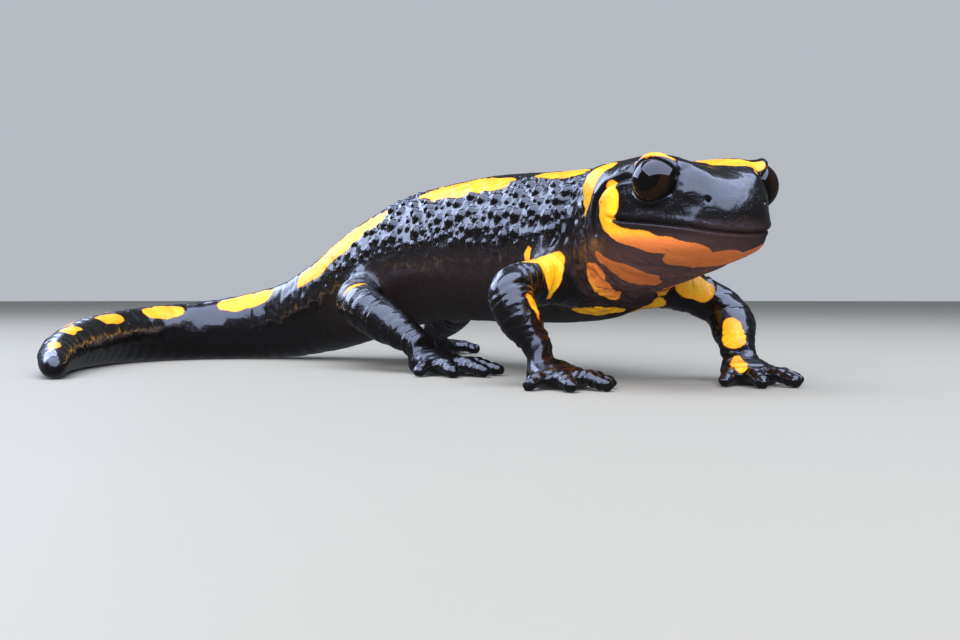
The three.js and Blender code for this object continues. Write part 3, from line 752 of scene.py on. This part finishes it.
RIGHT_THROAT_MARKS = [
    [(-9.4, -7.6, -8.2, 1.2), (-7.8, -5.8, -9.5, 2.2), (-8.0, -3.0, -10.6, 2.2), (-8.8, -0.9, -11.0, 1.0)],
    [(-13.4, -6.6, -9.7, 1.4), (-14.9, -4.2, -11.7, 1.5), (-14.9, -3.0, -12.3, 1.0)],
    [(-21.0, -4.2, -14.2, 1.1), (-19.0, -2.4, -14.3, 1.6), (-17.8, -0.4, -14.4, 1.0)],
]
LEFT_THROAT_MARKS = [
    [(-12.8, 2.0, -12.0, 0.8), (-10.6, 3.8, -11.0, 1.3), (-9.2, 6.2, -9.4, 1.5)],
    [(-14.0, 6.2, -10.0, 1.5), (-15.6, 4.8, -11.6, 1.3)],
    [(-19.6, 3.4, -14.2, 1.2), (-18.0, 5.0, -13.6, 1.5)],
]
LEG_MARKS = {  # from the elbow or knee: along X, Y and Z, and radius
    "fore_right": [
        [(-1.0, 2.2, 3.5, 0.35), (-0.6, 4.4, 3.4, 0.9), (0.3, 7.0, 3.4, 1.1)],
        [(0.6, 5.8, 2.6, 1.7), (0.8, 5.7, 1.4, 1.4), (0.6, 5.6, 0.2, 1.0), (0.5, 5.5, -0.9, 0.5)],
        [(3.2, -0.4, -0.6, 0.35), (3.8, 0.5, -1.9, 0.8), (4.6, 0.8, -3.6, 0.45)],
        [(4.8, 2.4, -6.2, 0.35), (6.0, 3.0, -7.0, 0.4)],
    ],
    "fore_left": [
        [(-1.2, -5.2, 2.8, 1.8), (0.6, -3.6, 2.0, 1.8)],
        [(5.8, -3.6, -2.4, 1.5), (6.8, -4.4, -3.8, 1.7)],
        [(8.6, -5.6, -5.9, 0.6), (10.2, -7.0, -6.7, 1.2), (11.6, -8.0, -7.1, 0.8)],
    ],
    "hind_right": [
        [(-2.6, -2.0, 2.2, 0.5), (-2.1, -0.8, 3.2, 0.85), (-1.4, 1.0, 3.6, 0.75), (-1.0, 2.6, 3.6, 0.4)],
    ],
    "hind_left": [
        [(-2.2, 2.4, 2.4, 0.8), (-2.0, 0.6, 3.2, 1.1), (-1.4, -1.2, 3.4, 0.7)],
        [(3.6, -1.4, -1.8, 0.5), (5.0, -2.2, -3.4, 0.7)],
    ],
}
PORES = [  # dark dots in the marks of cheek and gland
    (-5.5, 9.4, -0.8, 0.12), (-6.1, 9.6, -1.9, 0.13), (-4.7, 9.5, -3.0, 0.08),
    (-9.4, 9.0, 0.6, 0.11), (-8.4, 8.2, 1.6, 0.10),
]
PORE_EDGE = 2
LEFT_TEMPLE_MARK = [
    (2.2, 5.7, 2.3, 0.8), (2.2, 4.6, 2.1, 1.0), (1.2, 3.6, 2.4, 1.6), (-0.6, 2.8, 2.7, 1.6),
    (-3.4, 2.8, 2.8, 1.2), (-6.4, 3.4, 2.8, 1.1), (-8.8, 5.0, 2.5, 1.1), (-9.8, 7.0, 2.0, 1.0),
]
BROW_MARK = {"middle": 98, "spread": 54, "from_edge": 1.0, "wide": 0.95}
CLEAR_OF_EYE, ROUND_EYE = 4.4, 7  # from the eye's middle, for the marks behind and below it
SWAY = {"size": 1.7, "trunk": 0.35, "legs": 0.25, "head": 0.2}
UNMARKED = -5.0
GIRTH_POINTS = 300  # those whose middle girth places a mark round the body
LEG_LENGTH = 18


def paint(mark, spots, strokes):
    """Widens the mark, a signed distance inside its outline, by strokes of varying radius."""
    for stroke in strokes:
        path = np.array([s[:-1] for s in stroke], float)
        radii = [s[-1] for s in stroke]
        reach = np.concatenate([[0], np.cumsum(np.linalg.norm(np.diff(path, axis=0), axis=1))])
        away, where = along_path(spots, path)
        mark = np.maximum(mark, np.interp(where, reach / reach[-1], radii) - away)
    return mark


wander = np.stack([lumps(hide.points, SWAY["size"], seed) for seed in (31, 32, 33)], axis=1)
on_trunk = trunk > ON_TRUNK
along, turned, girth = place.along[on_trunk], place.turn[on_trunk], place.girth[on_trunk]
spots = np.stack([along, np.radians(turned) * girth], axis=1) + SWAY["trunk"] * wander[on_trunk, :2]
unrolled = []
for stroke in BACK_MARKS:
    unrolled.append([])
    for at, degrees, radius in stroke:
        near = np.argsort(np.abs(along - at))[:GIRTH_POINTS]
        unrolled[-1].append((at, math.radians(degrees) * np.median(girth[near]), radius))
mark = np.full(len(hide.points), UNMARKED)
mark[on_trunk] = paint(mark[on_trunk], spots, unrolled)
for name, leg in legs.items():
    close = np.linalg.norm(hide.points - leg.elbow, axis=1) < LEG_LENGTH
    spots = hide.points[close] - leg.elbow + SWAY["legs"] * wander[close]
    mark[close] = paint(mark[close], spots, LEG_MARKS[name])
spot = place.head + SWAY["head"] * wander
sides = np.stack([spot[:, 0], np.abs(spot[:, 1]), spot[:, 2]], axis=1)
mark = paint(mark, sides, HEAD_MARKS)
mark = paint(mark, spot, RIGHT_THROAT_MARKS + LEFT_THROAT_MARKS)
from_eye = np.minimum(eyes["left"].far, eyes["right"].far)
mark = np.where(from_eye < ROUND_EYE, np.minimum(mark, from_eye - CLEAR_OF_EYE), mark)
mark = paint(mark, spot, [LEFT_TEMPLE_MARK])
for *pore, radius in PORES:
    mark = np.minimum(mark, (np.linalg.norm(sides - pore, axis=1) - radius) * PORE_EDGE)
brow_eye = eyes["right"]
swing = (np.degrees(brow_eye.around) - BROW_MARK["middle"]) / BROW_MARK["spread"]
reach = BROW_MARK["wide"] * np.sqrt(np.clip(1 - swing**2, 0, 1))
brow = reach - np.abs(brow_eye.edge - BROW_MARK["from_edge"])
mark = np.maximum(mark, np.where(brow_eye.near & (np.abs(swing) < 1), brow, UNMARKED))

# The underside is browner and the throat greyer, and creased skin catches the light in fine lines. These go
# with the marks as one number for each point, and so do its places along and round the body.
PALE_HEAD = {"below": (5.2, 7.5), "starts": (-20, -16)}
PALE_TRUNK_ENDS = (78, 92)
PALE_LIP = {"share": 0.8, "below": (0.1, 0.5), "starts": (0, 1)}
GREY_THROAT = {"below": (4.2, 9.0), "starts": (-19, -9)}
CREASED = {"flank": 0.8, "flank_below": (88, 116), "tail": 0.5, "tail_starts": (92, 98), "legs": 0.7}
LEG_ROUND = 0.4  # stands for the way round a leg
SHADE_BLEND = 4
GLANDS_SUNK, SUNK_EDGE = 0.8, (-0.4, 0.3)  # glands stand lower in the yellow

under_head = step(-z, *PALE_HEAD["below"]) * step(x, *PALE_HEAD["starts"]) * trunk
under_trunk = step(turn, *FLANK["below"]) * trunk * (1 - step(place.along, *PALE_TRUNK_ENDS))
lower_lip = PALE_LIP["share"] * step(mouth_height(x) - z, *PALE_LIP["below"]) * trunk
lower_lip *= step(x - MOUTH_CORNER, *PALE_LIP["starts"])
under = hide.blur(np.max([under_head, under_trunk, lower_lip], axis=0), SHADE_BLEND)
throat_grey = step(-z, *GREY_THROAT["below"]) * step(x, *GREY_THROAT["starts"]) * trunk
throat_grey = hide.blur(throat_grey, SHADE_BLEND)

lengthwise, roundwise = place.along.copy(), np.radians(place.turn) * place.girth
flank_creases = CREASED["flank"] * step(turn, *CREASED["flank_below"]) * behind_neck
tail_creases = CREASED["tail"] * step(place.along, *CREASED["tail_starts"]) * trunk
creased = np.max([neck, throat, flank_creases, tail_creases], axis=0)
for leg in legs.values():
    lengthwise[leg.mask] = np.where(leg.toes > 0.5, leg.reach, leg.along)
    roundwise[leg.mask] = leg.points[:, :2].sum(1) * LEG_ROUND
    creased[leg.mask] = CREASED["legs"]
creased = hide.blur(creased, SHADE_BLEND)

relief += gland_tops * (1 - GLANDS_SUNK * step(mark, *SUNK_EDGE))
hide.lift(relief)
for side in ("left", "right"):
    eye = EyePlaces(side, hide.points)
    hide.points[eye.near] += (eye.spoke * (lid_reach(eye) - eye.far)[:, None])[eye.near]

# ------------------------------------------------------------------ the finished skin
# The outer finish of the one soft skin: wet, slick and black above, browner and duller beneath, and duller in
# its yellow marks, which have a rusty rim. The worked skin is stood on the floor, thinned most where it is
# plain, and takes the place of all the flesh, with no seam.

hide.points[:, 2] = np.maximum(hide.points[:, 2], 0)
hide.store()
for name, values in (("mark", mark), ("under", under), ("throat", throat_grey),
                     ("lengthwise", lengthwise), ("roundwise", roundwise), ("creased", creased)):
    layer = hide.mesh.attributes.new(name, "FLOAT", "POINT")
    layer.data.foreach_set("value", values.astype(np.float32))

KEPT_TRIANGLES = 194000
PLAIN, RICH = 1.0, 0.5  # how freely plain skin is thinned, and the head and the glands' zone
THINNING_WEIGHT = 0.022
skin = bpy.data.objects.new("skin", hide.mesh)
bpy.context.collection.objects.link(skin)
triangles = sum(len(face.vertices) - 2 for face in hide.mesh.polygons)
thin = skin.modifiers.new("thin", "DECIMATE")
thin.ratio = min(1.0, KEPT_TRIANGLES / triangles)
plain = skin.vertex_groups.new(name="plain")
rich = (face > 0.5) | (gland_zone > 0.5)
plain.add(np.flatnonzero(~rich).tolist(), PLAIN, "REPLACE")
plain.add(np.flatnonzero(rich).tolist(), RICH, "REPLACE")
thin.vertex_group = plain.name
thin.vertex_group_factor = THINNING_WEIGHT
skin.data = bpy.data.meshes.new_from_object(skin.evaluated_get(bpy.context.evaluated_depsgraph_get()))
skin.modifiers.clear()
skin.data.transform(Matrix.Scale(MM, 4))
skin.data.shade_smooth()


class Value:
    """A number in a material's tree, so that sums on it can be written plainly."""

    def __init__(self, finish, socket):
        self.finish, self.socket = finish, socket

    def _sum(self, operation, first, second):
        return self.finish.node("ShaderNodeMath", {"operation": operation}, {0: first, 1: second})

    def __add__(self, other):
        return self._sum("ADD", self, other)

    def __sub__(self, other):
        return self._sum("SUBTRACT", self, other)

    def __rsub__(self, other):
        return self._sum("SUBTRACT", other, self)

    def __mul__(self, other):
        return self._sum("MULTIPLY", self, other)

    def __pow__(self, other):
        return self._sum("POWER", self, other)

    __radd__ = __add__
    __rmul__ = __mul__


class Finish:
    """A material whose nodes are added one call each."""

    def __init__(self, name):
        self.material = bpy.data.materials.new(name)
        self.material.use_nodes = True
        self.tree = self.material.node_tree
        self.surface = self.tree.nodes["Principled BSDF"]

    def node(self, kind, settings=None, inputs=None, output=0):
        """Adds a node, with its settings set first, and gives one of its outputs."""
        made = self.tree.nodes.new(kind)
        for name, value in (settings or {}).items():
            setattr(made, name, value)
        for name, value in (inputs or {}).items():
            self.put(made.inputs[name], value)
        return Value(self, made.outputs[output])

    def put(self, socket, value):
        if isinstance(value, Value):
            self.tree.links.new(value.socket, socket)
        else:
            socket.default_value = value

    def set(self, **values):
        for name, value in values.items():
            self.put(self.surface.inputs[name.replace("_", " ")], value)

    def mix(self, share, low, high):
        """A colour between two colours."""
        ends = {"Factor": share, 6: low, 7: high}
        return self.node("ShaderNodeMix", {"data_type": "RGBA"}, ends, output=2)

    def ramp(self, value, low, high):
        """0 at low, 1 at high and smooth between, of a value."""
        return self.node("ShaderNodeMapRange", {"interpolation_type": "SMOOTHSTEP"},
                         {"Value": value, "From Min": low, "From Max": high})

    def attribute(self, name):
        return self.node("ShaderNodeAttribute", {"attribute_name": name}, output=2)


BLACK = (0.0042, 0.0036, 0.0042, 1)
FLANK_BROWN = (0.022, 0.0138, 0.0150, 1)
THROAT_GREY = (0.120, 0.060, 0.062, 1)
YELLOW = (0.95, 0.54, 0.016, 1)
DEEP_YELLOW = (0.90, 0.41, 0.008, 1)
# darker orange of the low jaw and throat marks: partly their own colour, partly painted shade
ORANGE_AND_PAINTED_SHADE = (0.72, 0.19, 0.045, 1)
RUST = (0.72, 0.20, 0.006, 1)
MARK_FRAY, MARK_EDGE, RUST_EDGE = 0.22, (-0.03, 0.07), (0.0, 0.2)
MOTTLED, ORANGE_AND_SHADE_FROM, GREY_FALL = (0.35, 0.7), (0.0, 0.5), 1.5
PIT_DEEP = (0.0, 0.45)
CREASES_LONG, CREASES_ROUND = 2.4, 0.45  # waves in a millimetre

wet = Finish("wet_skin")
place_in_skin = wet.node("ShaderNodeTexCoord", output=3)


def noise(scale, detail):
    """Grain in the finish, with this many waves in a metre."""
    return wet.node("ShaderNodeTexNoise", {}, {"Vector": place_in_skin, "Scale": scale, "Detail": detail})


mottle, fine, leather = noise(420.0, 3.0), noise(2600.0, 2.0), noise(1300.0, 2.0)
cells = wet.node("ShaderNodeTexVoronoi", {"feature": "F1"}, {"Vector": place_in_skin, "Scale": 2700.0})
pits = wet.ramp(cells, *PIT_DEEP)
along_and_round = wet.node("ShaderNodeCombineXYZ", {}, {
    "X": wet.attribute("lengthwise") * CREASES_LONG, "Y": wet.attribute("roundwise") * CREASES_ROUND,
})
creases = wet.node("ShaderNodeTexNoise", {}, {"Vector": along_and_round, "Scale": 1.0, "Detail": 3.0})
creases = creases * wet.attribute("creased")
under_value = wet.attribute("under")
throat_value = wet.attribute("throat")
mark_value = wet.attribute("mark")
marked = wet.ramp(mark_value + (fine - 0.5) * MARK_FRAY, *MARK_EDGE)
dark = wet.mix(under_value, BLACK, FLANK_BROWN)
dark = wet.mix(throat_value**GREY_FALL, dark, THROAT_GREY)
bright = wet.mix(wet.ramp(mottle, *MOTTLED), DEEP_YELLOW, YELLOW)
# low on the jaw and throat the marks turn a darker orange: partly their own orange, partly painted shade
bright = wet.mix(wet.ramp(throat_value, *ORANGE_AND_SHADE_FROM), bright, ORANGE_AND_PAINTED_SHADE)
bright = wet.mix(wet.ramp(mark_value, *RUST_EDGE), RUST, bright)
wet.set(
    Base_Color=wet.mix(marked, dark, bright),
    Roughness=0.22 + under_value * 0.16 + mottle * 0.08 + marked * 0.16,
    Specular_IOR_Level=0.3,
    Coat_Weight=0.9 - under_value * 0.82 - marked * 0.78,
    Coat_Roughness=0.12,
    Coat_IOR=1.6,
    Normal=wet.node("ShaderNodeBump", {}, {
        "Height": leather * 0.9 + fine * 0.5 + pits * 0.35 + creases * 1.6,
        "Strength": 0.7, "Distance": 0.0001,
    }),
)
skin.data.materials.clear()
skin.data.materials.append(wet.material)
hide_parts(*FLESH)
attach(skin, "root")

# ------------------------------------------------------------------ the eyes
# Two large, dark, glassy balls, nearly all pupil, with a thin brown iris. Each is one polished ball with a
# slight bulge in front, held in its socket by the lids.

BULGE = 0.02
IRIS_STARTS, IRIS_ENDS = (0.45, 0.62), (0.80, 0.83)  # 1 is the middle of the pupil
PUPIL_BLACK = (0.0025, 0.0018, 0.0016, 1)
IRIS_BROWN = (0.013, 0.006, 0.003, 1)

glass = Finish("eye")
facing = glass.attribute("gaze")
iris = glass.ramp(facing, *IRIS_STARTS) * (1 - glass.ramp(facing, *IRIS_ENDS))
glass.set(
    Base_Color=glass.mix(iris, PUPIL_BLACK, IRIS_BROWN),
    Roughness=0.04,
    Coat_Weight=0.4,
    Coat_Roughness=0.02,
)
for side in ("left", "right"):
    form = bmesh.new()
    bmesh.ops.create_uvsphere(form, u_segments=64, v_segments=40, radius=eye_radius * MM)
    turn_to_gaze = Vector(gaze_of(side)).to_track_quat("Z", "Y").to_matrix()
    gazes = [v.co.z / (eye_radius * MM) for v in form.verts]
    for v, gaze in zip(form.verts, gazes):
        v.co = turn_to_gaze @ (v.co * (1 + BULGE * max(0.0, gaze) ** 3)) + eye_centres[side]
    ball = bpy.data.meshes.new(f"eyeball_{side}")
    form.to_mesh(ball)
    form.free()
    layer = ball.attributes.new("gaze", "FLOAT", "POINT")
    layer.data.foreach_set("value", gazes)
    ball.shade_smooth()
    eye = bpy.data.objects.new(f"eyeball_{side}", ball)
    bpy.context.collection.objects.link(eye)
    ball.materials.append(glass.material)
    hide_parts(f"eye_{side}")
    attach(eye, "root")
